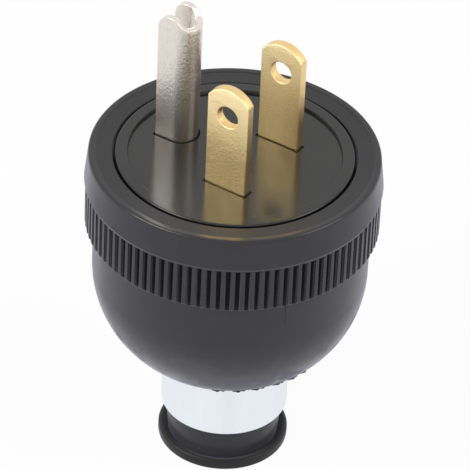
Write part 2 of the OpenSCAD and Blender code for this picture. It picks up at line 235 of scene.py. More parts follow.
def eased(corners):
    """Closed outline whose corners (r, z, rounding) are turned into small arcs."""
    outline = []
    for i, (r, z, rounding) in enumerate(corners):
        here = Vector((r, z))
        before = Vector(corners[i - 1][:2]) - here
        after = Vector(corners[(i + 1) % len(corners)][:2]) - here
        if rounding <= 0:
            outline.append((r, z))
            continue
        half = before.angle(after) / 2
        reach = rounding / math.tan(half)
        inwards = (before.normalized() + after.normalized()).normalized()
        centre = here + inwards * (rounding / math.sin(half))
        first = here + before.normalized() * reach - centre
        last = here + after.normalized() * reach - centre
        start = math.atan2(first.y, first.x)
        turn = first.angle_signed(last)
        outline += arc_points(centre, rounding, start, start - turn, corner_steps)
    return outline


def lathe(name, outline):
    """Closed ring made by turning an outline (r, z) round the plug's axis."""
    count = len(outline)
    turns = [2 * math.pi * i / lathe_steps for i in range(lathe_steps)]
    points = [(r * math.cos(turn), r * math.sin(turn), z) for turn in turns for r, z in outline]
    faces = [
        (i * count + j, (i + 1) % lathe_steps * count + j,
         (i + 1) % lathe_steps * count + (j + 1) % count, i * count + (j + 1) % count)
        for i in range(lathe_steps)
        for j in range(count)
    ]
    mesh = bpy.data.meshes.new(name)
    mesh.from_pydata(points, [], faces)
    return mesh


def worked_out(holder):
    """A new mesh of an object as its modifiers or its curve settings make it."""
    bpy.context.view_layer.update()
    seen = holder.evaluated_get(bpy.context.evaluated_depsgraph_get())
    return bpy.data.meshes.new_from_object(seen)


def finish(piece, merge=1e-7, sharp=math.radians(35)):
    """Merges doubles, turns all faces outwards and lets the large faces lead the shading."""
    work = bmesh.new()
    work.from_mesh(piece.data)
    bmesh.ops.remove_doubles(work, verts=work.verts, dist=merge)
    bmesh.ops.recalc_face_normals(work, faces=work.faces)
    for face in work.faces:
        face.smooth = True
    for edge in work.edges:
        edge.smooth = not edge.is_manifold or edge.calc_face_angle() < sharp
    work.to_mesh(piece.data)
    work.free()
    even = piece.modifiers.new("even", "WEIGHTED_NORMAL")
    even.keep_sharp = True
    mesh = worked_out(piece)
    piece.modifiers.remove(even)
    piece.data = mesh


def place(mesh, name):
    """Puts a mesh in the scene as an object at the origin."""
    made = bpy.data.objects.new(name, mesh)
    scene.collection.objects.link(made)
    return made


def dome_radius(run, rise):
    """Radius of an arc that ends upright, after so much run and rise."""
    return (run * run + rise * rise) / (2 * run)


def dome_arc(r_top, r_low, z_top, z_low, steps):
    """Points of a dome's arc from its low end up to its top, where it is upright."""
    radius = dome_radius(r_top - r_low, z_top - z_low)
    lowest = -math.asin((z_top - z_low) / radius)
    return arc_points((r_top - radius, z_top), radius, lowest, 0.0, steps)


carrier_low, carrier_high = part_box("contact_carrier")
ferrule_low, ferrule_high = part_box("ferrule")
fit_gap = 0.05 * mm
mouth_gap = 0.3 * mm
floor_gap = 0.2 * mm
flare_w = 1.4 * mm
collar_w = 1.2 * mm
collar_room = 3.45 * mm
floor_t = 3.0 * mm
flare_r = ferrule_high.x
ferrule_r = flare_r - flare_w
carrier_back = carrier_low.z
collar_r = carrier_high.x
carrier_r = collar_r - collar_w
lip_low = carrier_back + collar_room
mouth_r = carrier_r + mouth_gap
shell_hole_r = ferrule_r + fit_gap
bore_r = cup_r - wall_t
floor_z = shell_foot + floor_t
floor_r = flare_r + floor_gap
outer_dome_r = dome_radius(cup_r - base_r, dome_top - shell_foot)
dome_skin = dome_arc(cup_r, base_r, dome_top, shell_foot, outer_dome_steps)[1:]
dome_inside = dome_arc(bore_r, floor_r, dome_top, floor_z, inner_dome_steps)[::-1]
shell_outline = eased(
    [(shell_hole_r, shell_foot, ferrule_hole_round), (base_r, shell_foot, base_round)]
    + [(r, z, 0) for r, z in dome_skin]
    + [
        (cup_r, cup_top, groove_low_round),
        (groove_r, groove_low, groove_low_round),
        (groove_r, rim_low - groove_stop, groove_top_round),
        (rib_r, rim_low - groove_stop, groove_stop_round),
        (rib_r, rim_low, swell_low_round),
        (rim_r, rim_low + swell_h, swell_high_round),
        (rim_r - rim_draft, shell_top, rim_round),
        (band_r, shell_top - band_slope, band_round),
        (band_r, shell_top - band_h, band_round),
        (mouth_r, shell_top - band_h - lip_slope, lip_round),
        (mouth_r, lip_low, 0),
        (collar_r + fit_gap, lip_low, 0),
        (collar_r + fit_gap, carrier_back, 0),
        (bore_r, carrier_back, 0),
    ]
    + [(r, z, 0) for r, z in dome_inside]
    + [(shell_hole_r, floor_z, 0)]
)
shell_body = lathe("shell_body", shell_outline)

rib_top = rim_low - groove_stop + rib_overlap
rib_side = eased([
    (cup_r - rib_root, cup_top, 0),
    (cup_r, cup_top, 0),
    (rib_r, rib_low, rib_shoulder),
    (rib_r, rib_top, 0),
    (cup_r - rib_root, rib_top, 0),
])


def half_rib(z):
    """Half the rib's width at a height: it spreads a little towards its blunt lower end."""
    return (rib_wide + rib_spread * (rib_top - z) / (rib_top - cup_top)) / 2


def between(name, first, second):
    """Closed mesh whose two flat ends are outlines with as many points."""
    count = len(first)
    mesh = bpy.data.meshes.new(name)
    mesh.from_pydata(
        first + second,
        [],
        [tuple(range(count)), tuple(range(2 * count - 1, count - 1, -1))]
        + [(i, count + i, count + (i + 1) % count, (i + 1) % count) for i in range(count)],
    )
    return mesh


rib_mesh = between(
    "grip_rib",
    [(r, -half_rib(z), z) for r, z in rib_side],
    [(r, half_rib(z), z) for r, z in rib_side],
)
rib_work = bmesh.new()
rib_work.from_mesh(rib_mesh)
bmesh.ops.recalc_face_normals(rib_work, faces=rib_work.faces)
rib_edges = [
    edge for edge in rib_work.edges
    if edge.verts[0].co.y * edge.verts[1].co.y > 0
    and min(v.co.x for v in edge.verts) > cup_r - root_margin
]
bmesh.ops.bevel(
    rib_work, geom=rib_edges, offset=rib_round, segments=2, profile=0.5, affect="EDGES", clamp_overlap=True
)
rib_work.to_mesh(rib_mesh)
rib_work.free()
grip_rib = bpy.data.objects.new("grip_rib", rib_mesh)


def slab(name, outline, low, high):
    """Flat piece cut to an outline (y, z), between two places along X."""
    first, second = ([(x, y, z) for y, z in outline] for x in (low, high))
    return bpy.data.objects.new(name, between(name, first, second))


flake_outline_mm = ((-0.75, 0.15), (-0.5, -0.1), (-0.15, -0.13), (0.1, -0.24), (0.38, -0.2), (0.75, 0.15))
flake_half = 0.13 * mm


def flash_flake(turn):
    """A torn flake of rubber, standing out from the dome at an angle on its arc."""
    flake = slab("flash_flake", [(y * mm, z * mm) for y, z in flake_outline_mm], -flake_half, flake_half)
    flake.data.transform(Matrix.Rotation(-math.pi / 2 - turn, 4, "Y"))
    return flake


flash_runs = (
    {"count": 6, "first": -155, "last": -120, "turn": -48.9},
    {"count": 5, "first": -120, "last": -97, "turn": -44.5},
)
seam_angle = math.radians(-123.6)
seam_half = 0.06 * mm
seam_below = 3.4 * mm
seam_above = 0.3 * mm
seam_sunk = 0.2 * mm
seam_proud = 0.06 * mm
mould_seam = slab(
    "mould_seam", box_points(-seam_half, -seam_below, seam_half, seam_above), -seam_sunk, seam_proud
)


def surface_grain_group():
    """Shader group: fine and broad cloudy variation over a surface, by size in metres."""
    group = bpy.data.node_groups.new("surface_grain", "ShaderNodeTree")
    face = group.interface
    for name, value in (("Fine Size", 0.0004), ("Broad Size", 0.006)):
        face.new_socket(name, in_out="INPUT", socket_type="NodeSocketFloat").default_value = value
    for name in ("Fine", "Broad"):
        face.new_socket(name, in_out="OUTPUT", socket_type="NodeSocketFloat")
    inside = add_node(group, "NodeGroupInput")
    result = add_node(group, "NodeGroupOutput")
    place_on = add_node(group, "ShaderNodeTexCoord")
    for name, detail in (("Fine", 3.0), ("Broad", 4.0)):
        per_metre = add_node(group, "ShaderNodeMath", operation="DIVIDE")
        per_metre.inputs[0].default_value = 1.0
        cloud = add_node(group, "ShaderNodeTexNoise", Detail=detail, Roughness=0.6)
        group.links.new(inside.outputs[name + " Size"], per_metre.inputs[1])
        group.links.new(per_metre.outputs[0], cloud.inputs["Scale"])
        group.links.new(place_on.outputs["Object"], cloud.inputs["Vector"])
        group.links.new(cloud.outputs["Fac"], result.inputs[name])
    return group


surface_grain = surface_grain_group()


def new_material(name):
    """A material with its node tree and its Principled shader."""
    made = bpy.data.materials.new(name)
    made.use_nodes = True
    return made, made.node_tree, made.node_tree.nodes["Principled BSDF"]


# Places of a Mix node's two inputs and its output, which share their names, for colours and for values.
colour_a, colour_b, colour_out = 6, 7, 2
value_a, value_b, value_out = 2, 3, 0


def mix_tones(tree, mask, dark, light):
    """Colour between two tones by a mask."""
    mix = add_node(tree, "ShaderNodeMix", data_type="RGBA")
    tree.links.new(mask, mix.inputs[0])
    mix.inputs[colour_a].default_value = (*dark, 1)
    mix.inputs[colour_b].default_value = (*light, 1)
    return mix.outputs[colour_out]


def spread(tree, value, low, high, to_low=0.0, to_high=1.0):
    """A value's range from low to high, stretched to another range and held there."""
    remap = add_node(
        tree, "ShaderNodeMapRange", From_Min=low, From_Max=high, To_Min=to_low, To_Max=to_high
    )
    tree.links.new(value, remap.inputs["Value"])
    return remap.outputs["Result"]


grain_low = 0.3
grain_high = 0.7


def grained_plastic(name, dark, light, fine, broad, matt, gloss, bump, bump_depth):
    """Moulded rubber or plastic: two near tones, uneven gloss and a fine skin."""
    material, tree, shader = new_material(name)
    grain = add_node(tree, "ShaderNodeGroup", node_tree=surface_grain)
    grain.inputs["Fine Size"].default_value = fine
    grain.inputs["Broad Size"].default_value = broad
    clouds = spread(tree, grain.outputs["Broad"], grain_low, grain_high)
    tree.links.new(mix_tones(tree, clouds, dark, light), shader.inputs["Base Color"])
    rough = spread(tree, grain.outputs["Broad"], grain_low, grain_high, gloss, matt)
    tree.links.new(rough, shader.inputs["Roughness"])
    skin = add_node(tree, "ShaderNodeBump", Strength=bump, Distance=bump_depth)
    tree.links.new(grain.outputs["Fine"], skin.inputs["Height"])
    tree.links.new(skin.outputs["Normal"], shader.inputs["Normal"])
    return material


shell_rubber = grained_plastic(
    "shell_rubber", dark=(0.0108, 0.0101, 0.0164), light=(0.0166, 0.0158, 0.0245),
    fine=0.00025, broad=0.004, matt=0.4, gloss=0.27, bump=0.06, bump_depth=0.00002,
)
bloom_spread = 0.3
bloom_tint = (0.8, 0.77, 1, 1)


def bloom(material, weight):
    """A faint bluish bloom on rubber, which shows where the surface turns away."""
    inputs = material.node_tree.nodes["Principled BSDF"].inputs
    inputs["Sheen Weight"].default_value = weight
    inputs["Sheen Roughness"].default_value = bloom_spread
    inputs["Sheen Tint"].default_value = bloom_tint


bloom(shell_rubber, weight=0.42)


def place_parts(tree):
    """A point's distance from the plug's axis and its height, as sockets."""
    spot = add_node(tree, "ShaderNodeTexCoord").outputs["Object"]
    level = add_node(tree, "ShaderNodeVectorMath", operation="MULTIPLY")
    level.inputs[1].default_value = (1, 1, 0)
    aside = add_node(tree, "ShaderNodeVectorMath", operation="LENGTH")
    parts = add_node(tree, "ShaderNodeSeparateXYZ")
    tree.links.new(spot, level.inputs[0])
    tree.links.new(level.outputs[0], aside.inputs[0])
    tree.links.new(spot, parts.inputs[0])
    return aside.outputs["Value"], parts.outputs["Z"]


def both(tree, first, second):
    """The product of two masks."""
    product = add_node(tree, "ShaderNodeMath", operation="MULTIPLY")
    tree.links.new(first, product.inputs[0])
    tree.links.new(second, product.inputs[1])
    return product.outputs[0]


def lay_over(material, mask, tone, rough):
    """Lays a second tone and roughness over a material where a mask is 1."""
    tree = material.node_tree
    shader = tree.nodes["Principled BSDF"]
    for name, kind, first, second, result, value in (
        ("Base Color", "RGBA", colour_a, colour_b, colour_out, (*tone, 1)),
        ("Roughness", "FLOAT", value_a, value_b, value_out, rough),
    ):
        mix = add_node(tree, "ShaderNodeMix", data_type=kind)
        tree.links.new(mask, mix.inputs[0])
        tree.links.new(shader.inputs[name].links[0].from_socket, mix.inputs[first])
        mix.inputs[second].default_value = value
        tree.links.new(mix.outputs[result], shader.inputs[name])


rubber_tree = shell_rubber.node_tree
from_axis, height = place_parts(rubber_tree)
painted_light_on_wall = spread(rubber_tree, from_axis, rib_r - 0.06 * mm, rib_r - 0.2 * mm)
painted_shade_in_depth = spread(rubber_tree, from_axis, rib_r - 0.28 * mm, rib_r - 0.55 * mm)
in_band = both(
    rubber_tree,
    spread(rubber_tree, height, cup_top, cup_top + 0.2 * mm),
    spread(rubber_tree, height, rim_low + 0.05 * mm, rim_low - 0.1 * mm),
)
# Painted light: the groove walls are painted a lighter grey, standing in for the light they catch from the
# front.
lay_over(shell_rubber, both(rubber_tree, painted_light_on_wall, in_band), tone=(0.11, 0.108, 0.118), rough=0.7)
# Painted shade: deep in the grooves the rubber is painted near black, and it is matt there.
lay_over(shell_rubber, both(rubber_tree, painted_shade_in_depth, in_band), tone=(0.004, 0.004, 0.005), rough=0.85)
rim_tone = (0.0125, 0.0122, 0.0135)
at_top = spread(rubber_tree, height, shell_top - 0.6 * mm, shell_top - 0.4 * mm)
lay_over(shell_rubber, at_top, rim_tone, rough=0.52)
on_band = both(
    rubber_tree,
    spread(rubber_tree, height, shell_top - 0.25 * mm, shell_top - 0.2 * mm),
    spread(rubber_tree, from_axis, band_r - 0.08 * mm, band_r),
)
lay_over(shell_rubber, on_band, rim_tone, rough=0.2)
smear_size = 4 * mm
smear_bare = 0.47
smear_full = 0.6
smears = add_node(rubber_tree, "ShaderNodeGroup", node_tree=surface_grain)
smears.inputs["Broad Size"].default_value = smear_size
smeared = both(
    rubber_tree,
    spread(rubber_tree, smears.outputs["Broad"], smear_bare, smear_full),
    spread(rubber_tree, height, shell_foot + 11 * mm, shell_foot + 5 * mm),
)
lay_over(shell_rubber, smeared, tone=(0.085, 0.083, 0.1), rough=0.75)


def ring_of_parts_tree():
    """Geometry Nodes: adds copies of a part round the plug's axis to a piece, evenly or scattered."""
    tree = bpy.data.node_groups.new("ring_of_parts", "GeometryNodeTree")
    face = tree.interface
    sockets = {
        "Part": "Object", "Count": "Int", "First Angle": "Float", "Last Angle": "Float", "Radius": "Float",
        "Height": "Float", "Scatter": "Float", "Least Size": "Float", "Most Size": "Float", "Seed": "Int",
        "Material": "Material",
    }
    face.new_socket("Geometry", in_out="INPUT", socket_type="NodeSocketGeometry")
    for name, kind in sockets.items():
        face.new_socket(name, in_out="INPUT", socket_type="NodeSocket" + kind)
    face.new_socket("Geometry", in_out="OUTPUT", socket_type="NodeSocketGeometry")
    given = add_node(tree, "NodeGroupInput").outputs
    end = add_node(tree, "NodeGroupOutput")
    link = tree.links.new

    def maths(operation, first, second):
        """One sum on two sockets."""
        step = add_node(tree, "ShaderNodeMath", operation=operation)
        link(first, step.inputs[0])
        link(second, step.inputs[1])
        return step.outputs[0]

    def chance(least, most):
        """A seeded random value for each copy."""
        draw = add_node(tree, "FunctionNodeRandomValue", data_type="FLOAT")
        for socket, name in ((least, "Min"), (most, "Max")):
            if socket:
                link(socket, next(i for i in draw.inputs if i.name == name and i.type == "VALUE"))
        link(given["Seed"], draw.inputs["Seed"])
        return next(o for o in draw.outputs if o.type == "VALUE")

    index = add_node(tree, "GeometryNodeInputIndex").outputs[0]
    share = maths("DIVIDE", maths("ADD", index, chance(None, given["Scatter"])), given["Count"])
    span = maths("SUBTRACT", given["Last Angle"], given["First Angle"])
    angle = maths("ADD", given["First Angle"], maths("MULTIPLY", span, share))
    about_axis = add_node(tree, "ShaderNodeCombineXYZ")
    link(angle, about_axis.inputs["Z"])
    out = add_node(tree, "ShaderNodeCombineXYZ")
    link(given["Radius"], out.inputs["X"])
    link(given["Height"], out.inputs["Z"])
    turned = add_node(tree, "ShaderNodeVectorRotate", rotation_type="Z_AXIS")
    link(out.outputs[0], turned.inputs["Vector"])
    link(angle, turned.inputs["Angle"])
    spots = add_node(tree, "GeometryNodePoints")
    link(given["Count"], spots.inputs["Count"])
    link(turned.outputs[0], spots.inputs["Position"])
    part = add_node(tree, "GeometryNodeObjectInfo")
    link(given["Part"], part.inputs["Object"])
    stand = add_node(tree, "GeometryNodeInstanceOnPoints")
    link(spots.outputs[0], stand.inputs["Points"])
    link(part.outputs["Geometry"], stand.inputs["Instance"])
    link(about_axis.outputs[0], stand.inputs["Rotation"])
    link(chance(given["Least Size"], given["Most Size"]), stand.inputs["Scale"])
    real = add_node(tree, "GeometryNodeRealizeInstances")
    link(stand.outputs[0], real.inputs[0])
    join = add_node(tree, "GeometryNodeJoinGeometry")
    link(given["Geometry"], join.inputs[0])
    link(real.outputs[0], join.inputs[0])
    paint = add_node(tree, "GeometryNodeSetMaterial")
    link(join.outputs[0], paint.inputs["Geometry"])
    link(given["Material"], paint.inputs["Material"])
    link(paint.outputs[0], end.inputs["Geometry"])
    return tree


def run_tree(piece, tree, **values):
    """Runs a Geometry Nodes tree on an object and keeps the result as its plain mesh."""
    modifier = piece.modifiers.new("build", "NODES")
    modifier.node_group = tree
    for item in tree.interface.items_tree:
        key = item.name.replace(" ", "_")
        if item.in_out == "INPUT" and key in values:
            modifier[item.identifier] = values[key]
    mesh = worked_out(piece)
    piece.modifiers.remove(modifier)
    piece.data = mesh


def dress(piece, node):
    """The piece moves with the plug and stands for a CAD node."""
    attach(piece, "root")
    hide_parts(node)


shell = place(shell_body, "rubber_shell")
ring_of_parts = ring_of_parts_tree()
run_tree(
    shell, ring_of_parts, Part=grip_rib, Count=rib_count, First_Angle=0.0, Last_Angle=2 * math.pi,
    Radius=0.0, Height=0.0, Scatter=0.0, Least_Size=1.0, Most_Size=1.0, Seed=0, Material=shell_rubber,
)
for run in flash_runs:
    turn = math.radians(run["turn"])
    run_tree(
        shell, ring_of_parts, Part=flash_flake(turn), Count=run["count"],
        First_Angle=math.radians(run["first"]), Last_Angle=math.radians(run["last"]),
        Radius=cup_r + outer_dome_r * (math.cos(turn) - 1), Height=dome_top + outer_dome_r * math.sin(turn),
        Scatter=0.6, Least_Size=0.5, Most_Size=1.15, Seed=4, Material=shell_rubber,
    )
run_tree(
    shell, ring_of_parts, Part=mould_seam, Count=1, First_Angle=seam_angle, Last_Angle=0.0,
    Radius=cup_r, Height=cup_top, Scatter=0.0, Least_Size=1.0, Most_Size=1.0, Seed=0, Material=shell_rubber,
)
finish(shell)
dress(shell, "shell")

# Ferrule: a thin drawn tube of bright metal, pushed through the hole in the shell's back from inside.
# Its flared inner end hooks on the shell's floor, and its lower edge is left plain.
ferrule_t = 0.6 * mm
ferrule_edge = 0.15 * mm
ferrule_round = 0.2 * mm
ferrule_bore_r = ferrule_r - ferrule_t
ferrule_outline = eased([
    (ferrule_bore_r, ferrule_low.z, ferrule_edge),
    (ferrule_r, ferrule_low.z, ferrule_round),
    (ferrule_r, floor_z, 0),
    (flare_r, floor_z, ferrule_edge),
    (flare_r, ferrule_high.z, ferrule_edge),
    (ferrule_bore_r, ferrule_high.z, ferrule_round),
])
ferrule = place(lathe("ferrule", ferrule_outline), "bright_ferrule")
finish(ferrule)


def drawn_streaks_group():
    """Shader group: streaks along the plug's axis, as drawing or stamping leaves on metal."""
    group = bpy.data.node_groups.new("drawn_streaks", "ShaderNodeTree")
    face = group.interface
    for name, value in (("Across", 0.0005), ("Along", 0.01)):
        face.new_socket(name, in_out="INPUT", socket_type="NodeSocketFloat").default_value = value
    face.new_socket("Streaks", in_out="OUTPUT", socket_type="NodeSocketFloat")
    inside = add_node(group, "NodeGroupInput")
    result = add_node(group, "NodeGroupOutput")
    place_on = add_node(group, "ShaderNodeTexCoord")
    sizes = add_node(group, "ShaderNodeCombineXYZ")
    for socket, axis in (("Across", "X"), ("Across", "Y"), ("Along", "Z")):
        group.links.new(inside.outputs[socket], sizes.inputs[axis])
    stretch = add_node(group, "ShaderNodeVectorMath", operation="DIVIDE")
    cloud = add_node(group, "ShaderNodeTexNoise", Scale=1.0, Detail=4.0, Roughness=0.65)
    group.links.new(place_on.outputs["Object"], stretch.inputs[0])
    group.links.new(sizes.outputs[0], stretch.inputs[1])
    group.links.new(stretch.outputs[0], cloud.inputs["Vector"])
    group.links.new(cloud.outputs["Fac"], result.inputs["Streaks"])
    return group


drawn_streaks = drawn_streaks_group()
patch_grains = 8


def worked_metal(name, dark, light, across, along, matt, gloss, grain_size, bump, bump_depth):
    """Drawn or stamped metal: streaks in tone and gloss, over a fine grain."""
    material, tree, shader = new_material(name)
    shader.inputs["Metallic"].default_value = 1.0
    streaks = add_node(tree, "ShaderNodeGroup", node_tree=drawn_streaks)
    streaks.inputs["Across"].default_value = across
    streaks.inputs["Along"].default_value = along
    grain = add_node(tree, "ShaderNodeGroup", node_tree=surface_grain)
    grain.inputs["Fine Size"].default_value = grain_size
    grain.inputs["Broad Size"].default_value = grain_size * patch_grains
    tone = spread(tree, streaks.outputs["Streaks"], grain_low, grain_high)
    tree.links.new(mix_tones(tree, tone, dark, light), shader.inputs["Base Color"])
    rough = spread(tree, grain.outputs["Broad"], grain_low, grain_high, gloss, matt)
    tree.links.new(rough, shader.inputs["Roughness"])
    skin = add_node(tree, "ShaderNodeBump", Strength=bump, Distance=bump_depth)
    tree.links.new(grain.outputs["Fine"], skin.inputs["Height"])
    tree.links.new(skin.outputs["Normal"], shader.inputs["Normal"])
    return material


ferrule_metal = worked_metal(
    "ferrule_metal", dark=(0.81, 0.85, 0.9), light=(0.85, 0.89, 0.94),
    across=0.002, along=0.03, matt=0.4, gloss=0.34, grain_size=0.0003, bump=0.02, bump_depth=0.00001,
)
ferrule.data.materials.append(ferrule_metal)
dress(ferrule, "ferrule")

# Cord bushing: a soft black rubber sleeve inside the ferrule, with a flange outside that the plug
# stands on, a bell mouth for the cord and a collar that stops on the ferrule's flare.
bushing_low, bushing_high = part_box("cord_bushing")
flange_r = 9.0 * mm
flange_h = 1.6 * mm
flange_round = 0.4 * mm
flange_steps = 10
dish_depth = 0.5 * mm
waist_depth = 0.45 * mm
waist_round = 0.03 * mm
cord_r = 5.2 * mm
bell_round = 1.5 * mm
sleeve_stop_round = 0.2 * mm
sleeve_top_round = 0.4 * mm
bushing_r = ferrule_bore_r - fit_gap
dip_z = flange_h - dish_depth
waist_r = bushing_r - waist_depth
flange_edge = (flange_r - flange_round, flange_h - flange_round)
dip_run = math.hypot(flange_edge[0] - waist_r, flange_edge[1] - dip_z)
dip_slope = math.atan2(flange_edge[1] - dip_z, flange_edge[0] - waist_r) + math.asin(flange_round / dip_run)
edge_arc = arc_points(flange_edge, flange_round, 0.0, dip_slope + math.pi / 2, flange_steps)
bushing_outline = eased(
    [(cord_r, bushing_low.z, bell_round), (flange_r, bushing_low.z, flange_round)]
    + [(r, z, 0) for r, z in edge_arc]
    + [
        (waist_r, dip_z, waist_round),
        (bushing_r, ferrule_low.z, 0),
        (bushing_r, ferrule_high.z, 0),
        (bushing_high.x, ferrule_high.z, sleeve_stop_round),
        (bushing_high.x, bushing_high.z, sleeve_top_round),
        (cord_r, bushing_high.z, sleeve_top_round),
    ]
)
bushing = place(lathe("cord_bushing", bushing_outline), "cord_sleeve")
finish(bushing)
bushing_rubber = grained_plastic(
    "bushing_rubber", dark=(0.02, 0.0198, 0.025), light=(0.027, 0.0267, 0.033),
    fine=0.0003, broad=0.004, matt=0.4, gloss=0.3, bump=0.06, bump_depth=0.00002,
)
bloom(bushing_rubber, weight=0.3)
bushing_tree = bushing_rubber.node_tree
bushing_tree.nodes["Principled BSDF"].inputs["Specular IOR Level"].default_value = 0.3
from_cord, sleeve_height = place_parts(bushing_tree)
on_flange = spread(bushing_tree, sleeve_height, flange_h + 0.15 * mm, flange_h - 0.05 * mm)
painted_light_in_dish = both(
    bushing_tree,
    spread(bushing_tree, from_cord, waist_r, waist_r + 0.3 * mm),
    spread(bushing_tree, from_cord, flange_r - 0.15 * mm, flange_r - 0.5 * mm),
)
# Painted shade: the flange, on which the plug stands, is painted darker than the sleeve, for the shade near
# the floor.
lay_over(bushing_rubber, on_flange, tone=(0.009, 0.0089, 0.0084), rough=0.45)
# Painted light: the flange's dish is painted much lighter, standing in for light that reaches its hollow.
lay_over(bushing_rubber, both(bushing_tree, on_flange, painted_light_in_dish), tone=(0.062, 0.061, 0.056), rough=0.6)
# Painted light: the foot of the neck above the dish is painted lighter, standing in for light that the
# flange's lip keeps off.
painted_light_on_neck_foot = both(
    bushing_tree,
    spread(bushing_tree, from_cord, waist_r + 0.2 * mm, waist_r + 0.1 * mm),
    spread(bushing_tree, sleeve_height, dip_z + 1.7 * mm, dip_z + 0.4 * mm),
)
lay_over(bushing_rubber, painted_light_on_neck_foot, tone=(0.058, 0.057, 0.068), rough=0.5)
bushing.data.materials.append(bushing_rubber)
dress(bushing, "cord_bushing")

# Face disc: a hard disc of black phenolic, moulded to a mirror gloss, with a raised ring at its edge
# and slots for the blades. A collar behind the ring snaps under the shell's rubber lip.
ring_w = 1.7 * mm
ring_h = 0.45 * mm
ring_overlap = 0.1 * mm
ring_edge_out = 0.08 * mm
ring_edge_in = 0.06 * mm
ring_outer_round = 0.25 * mm
ring_inner_round = 0.12 * mm
ring_foot_round = 0.05 * mm
collar_round = 0.2 * mm
slot_gap = 0.2 * mm
slot_edge = 0.05 * mm
disc_steps = 128
face_z = carrier_high.z - ring_h
step_r = carrier_r - ring_w
line_low, line_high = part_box("line_blade")
pin_low, pin_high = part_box("ground_pin")
blade_w = line_high.y - line_low.y
blade_t = 1.4 * mm
blade_x = line_low.x + blade_t / 2
blade_y = (line_low.y + line_high.y) / 2
pin_w = 4.8 * mm
pin_d = 5.0 * mm
pin_t = 0.9 * mm
slot_outer_steps = 32
slot_inner_steps = 24
pin_open = pin_high.y
pin_bend = pin_open - pin_d + pin_w / 2


def flat_plate(name, outlines, thickness, edge, edge_steps=3):
    """Plate cut to one outline with holes in it, its edges rounded, lying on its middle plane."""
    drawing = bpy.data.curves.new(name, "CURVE")
    drawing.dimensions = "2D"
    drawing.fill_mode = "BOTH"
    drawing.extrude = thickness / 2 - edge
    drawing.bevel_depth = edge
    drawing.bevel_resolution = edge_steps
    drawing.offset = -edge
    for outline in outlines:
        spline = drawing.splines.new("POLY")
        spline.points.add(len(outline) - 1)
        for point, (x, y) in zip(spline.points, outline):
            point.co = (x, y, 0, 1)
        spline.use_cyclic_u = True
    holder = bpy.data.objects.new(name, drawing)
    scene.collection.objects.link(holder)
    mesh = worked_out(holder)
    bpy.data.objects.remove(holder)
    return mesh


def ring_points(centre, radius, steps):
    """A full circle of points."""
    return arc_points(centre, radius, 0.0, 2 * math.pi * (steps - 1) / steps, steps - 1)


def u_section(gap):
    """The folded pin's section, open towards +Y, grown on its skin by gap."""
    outside = pin_w / 2 + gap
    inside = pin_w / 2 - pin_t - gap
    edge = pin_open + gap
    return (
        [(outside, edge)]
        + arc_points((0, pin_bend), outside, 0.0, -math.pi, slot_outer_steps)
        + [(-outside, edge), (-inside, edge)]
        + arc_points((0, pin_bend), inside, -math.pi, 0.0, slot_inner_steps)
        + [(inside, edge)]
    )


def joined(name, meshes):
    """One mesh of several."""
    work = bmesh.new()
    for mesh in meshes:
        work.from_mesh(mesh)
    result = bpy.data.meshes.new(name)
    work.to_mesh(result)
    work.free()
    return result


carrier_h = face_z - carrier_back
blade_slot = box_points(
    blade_x - blade_t / 2 - slot_gap, blade_y - blade_w / 2 - slot_gap,
    blade_x + blade_t / 2 + slot_gap, blade_y + blade_w / 2 + slot_gap,
)
face_plate = flat_plate(
    "face_plate",
    [ring_points((0, 0), step_r, disc_steps), blade_slot, [(-x, y) for x, y in blade_slot],
     u_section(slot_gap)],
    carrier_h, slot_edge,
)
face_plate.transform(Matrix.Translation((0, 0, carrier_back + carrier_h / 2)))
raised_ring = lathe("raised_ring", eased([
    (step_r - ring_overlap, carrier_back, 0),
    (collar_r, carrier_back, collar_round),
    (collar_r, lip_low - fit_gap, collar_round),
    (carrier_r, lip_low - fit_gap, 0),
    (carrier_r, carrier_high.z, ring_outer_round),
    (step_r + ring_edge_out, carrier_high.z, ring_inner_round),
    (step_r - ring_edge_in, face_z, ring_foot_round),
]))
carrier = place(joined("face_disc", [face_plate, raised_ring]), "face_disc")
finish(carrier)
face_phenolic = grained_plastic(
    "face_phenolic", dark=(0.009, 0.009, 0.009), light=(0.014, 0.014, 0.013),
    fine=0.0006, broad=0.009, matt=0.19, gloss=0.14, bump=0.02, bump_depth=0.00001,
)
carrier.data.materials.append(face_phenolic)
dress(carrier, "contact_carrier")

# Blades: stamped from brass strip and tumbled, so every edge is slightly round. The tip is an arc,
# the hole is punched, and the foot behind the face is bent outwards to carry the terminal screw.
blade_top = line_high.z
tip_rise = 1.8 * mm
tip_steps = 32
blade_edge = 0.16 * mm
hole_r = 1.6 * mm
hole_steps = 64
hole_up = 11.6 * mm
hole_z = face_z + hole_up
foot_end = line_high.x
foot_edge = 0.1 * mm
screw_r = 1.8 * mm
screw_steps = 32
screw_inset = 3.0 * mm
screw_x = foot_end - screw_inset
half_w = blade_w / 2
tip_r = (half_w * half_w + tip_rise * tip_rise) / (2 * tip_rise)
tip_half = math.asin(half_w / tip_r)
tip_centre = blade_top - tip_r
blade_outline = (
    [(-half_w, carrier_back), (half_w, carrier_back)]
    + arc_points((0, tip_centre), tip_r, math.pi / 2 - tip_half, math.pi / 2 + tip_half, tip_steps)
)
blade_plate = flat_plate(
    "blade_plate", [blade_outline, ring_points((0, hole_z), hole_r, hole_steps)], blade_t, blade_edge,
    edge_steps=4,
)
stand_up = Matrix(((0, 0, 1, blade_x), (1, 0, 0, blade_y), (0, 1, 0, 0), (0, 0, 0, 1)))
blade_plate.transform(stand_up)
foot_plate = flat_plate(
    "foot_plate",
    [box_points(blade_x - blade_t / 2, blade_y - half_w, foot_end, blade_y + half_w),
     ring_points((screw_x, blade_y), screw_r, screw_steps)],
    blade_t, foot_edge,
)
foot_plate.transform(Matrix.Translation((0, 0, carrier_back + blade_t / 2)))
